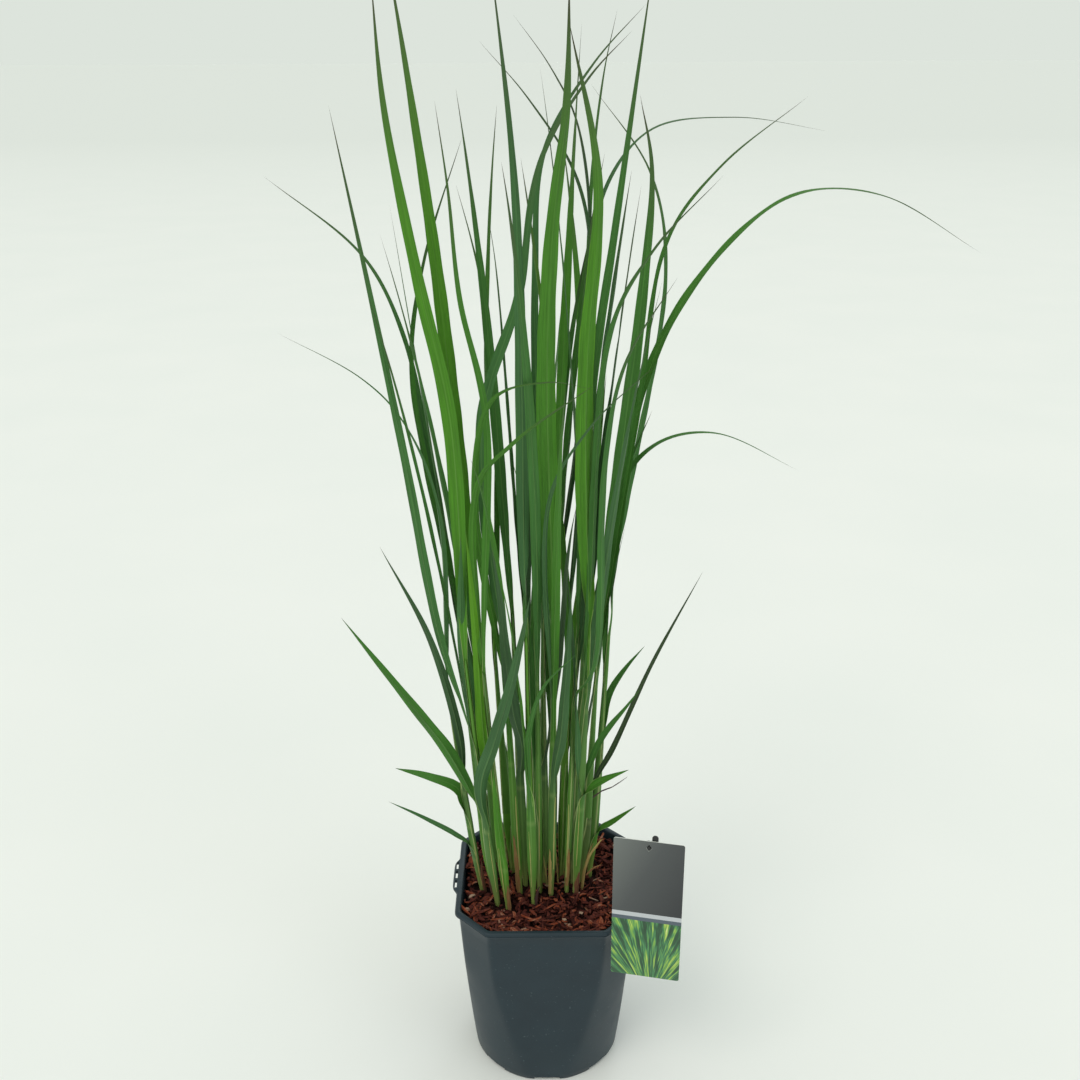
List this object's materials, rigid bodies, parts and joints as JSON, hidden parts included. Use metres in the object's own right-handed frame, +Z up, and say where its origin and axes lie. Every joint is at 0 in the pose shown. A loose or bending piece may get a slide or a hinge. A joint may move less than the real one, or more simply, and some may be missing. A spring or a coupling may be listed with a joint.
{
  "type": "potted switchgrass",
  "caption": "Upright clump of switchgrass with long arching blades in bark-covered soil, in an eight-sided nursery pot with a blank plant card on a stake.",
  "frame": {"origin": "centre of the flat disc under the pot's base, on the surface that the pot stands on", "axes": "+Z up along the plant's height; -Y is the front, where the plant card hangs at the right-hand corner; +X is to the right seen from the front"},
  "size_m": [0.6013, 0.3207, 0.999],
  "materials": {
    "pot_plastic": "moulded, satin",
    "potting_soil": "rough",
    "bark": "rough",
    "card_laminate": "laminated, satin",
    "stake_plastic": "moulded",
    "grass": "satin leaf"
  },
  "bodies": {
    "root": {"pot": "pot_plastic", "soil": "potting_soil", "bark_mulch": "bark", "label_card": "card_laminate", "label_stake": "stake_plastic", "tiller_01": "grass", "tiller_02": "grass", "tiller_03": "grass", "tiller_04": "grass", "tiller_05": "grass", "tiller_06": "grass", "tiller_07": "grass", "tiller_08": "grass", "tiller_09": "grass", "tiller_10": "grass", "tiller_11": "grass", "tiller_12": "grass", "tiller_13": "grass", "tiller_14": "grass", "tiller_15": "grass", "tiller_16": "grass", "tiller_17": "grass", "tiller_18": "grass", "tiller_19": "grass", "tiller_20": "grass", "tiller_21": "grass", "tiller_22": "grass"}
  },
  "joints": []
}
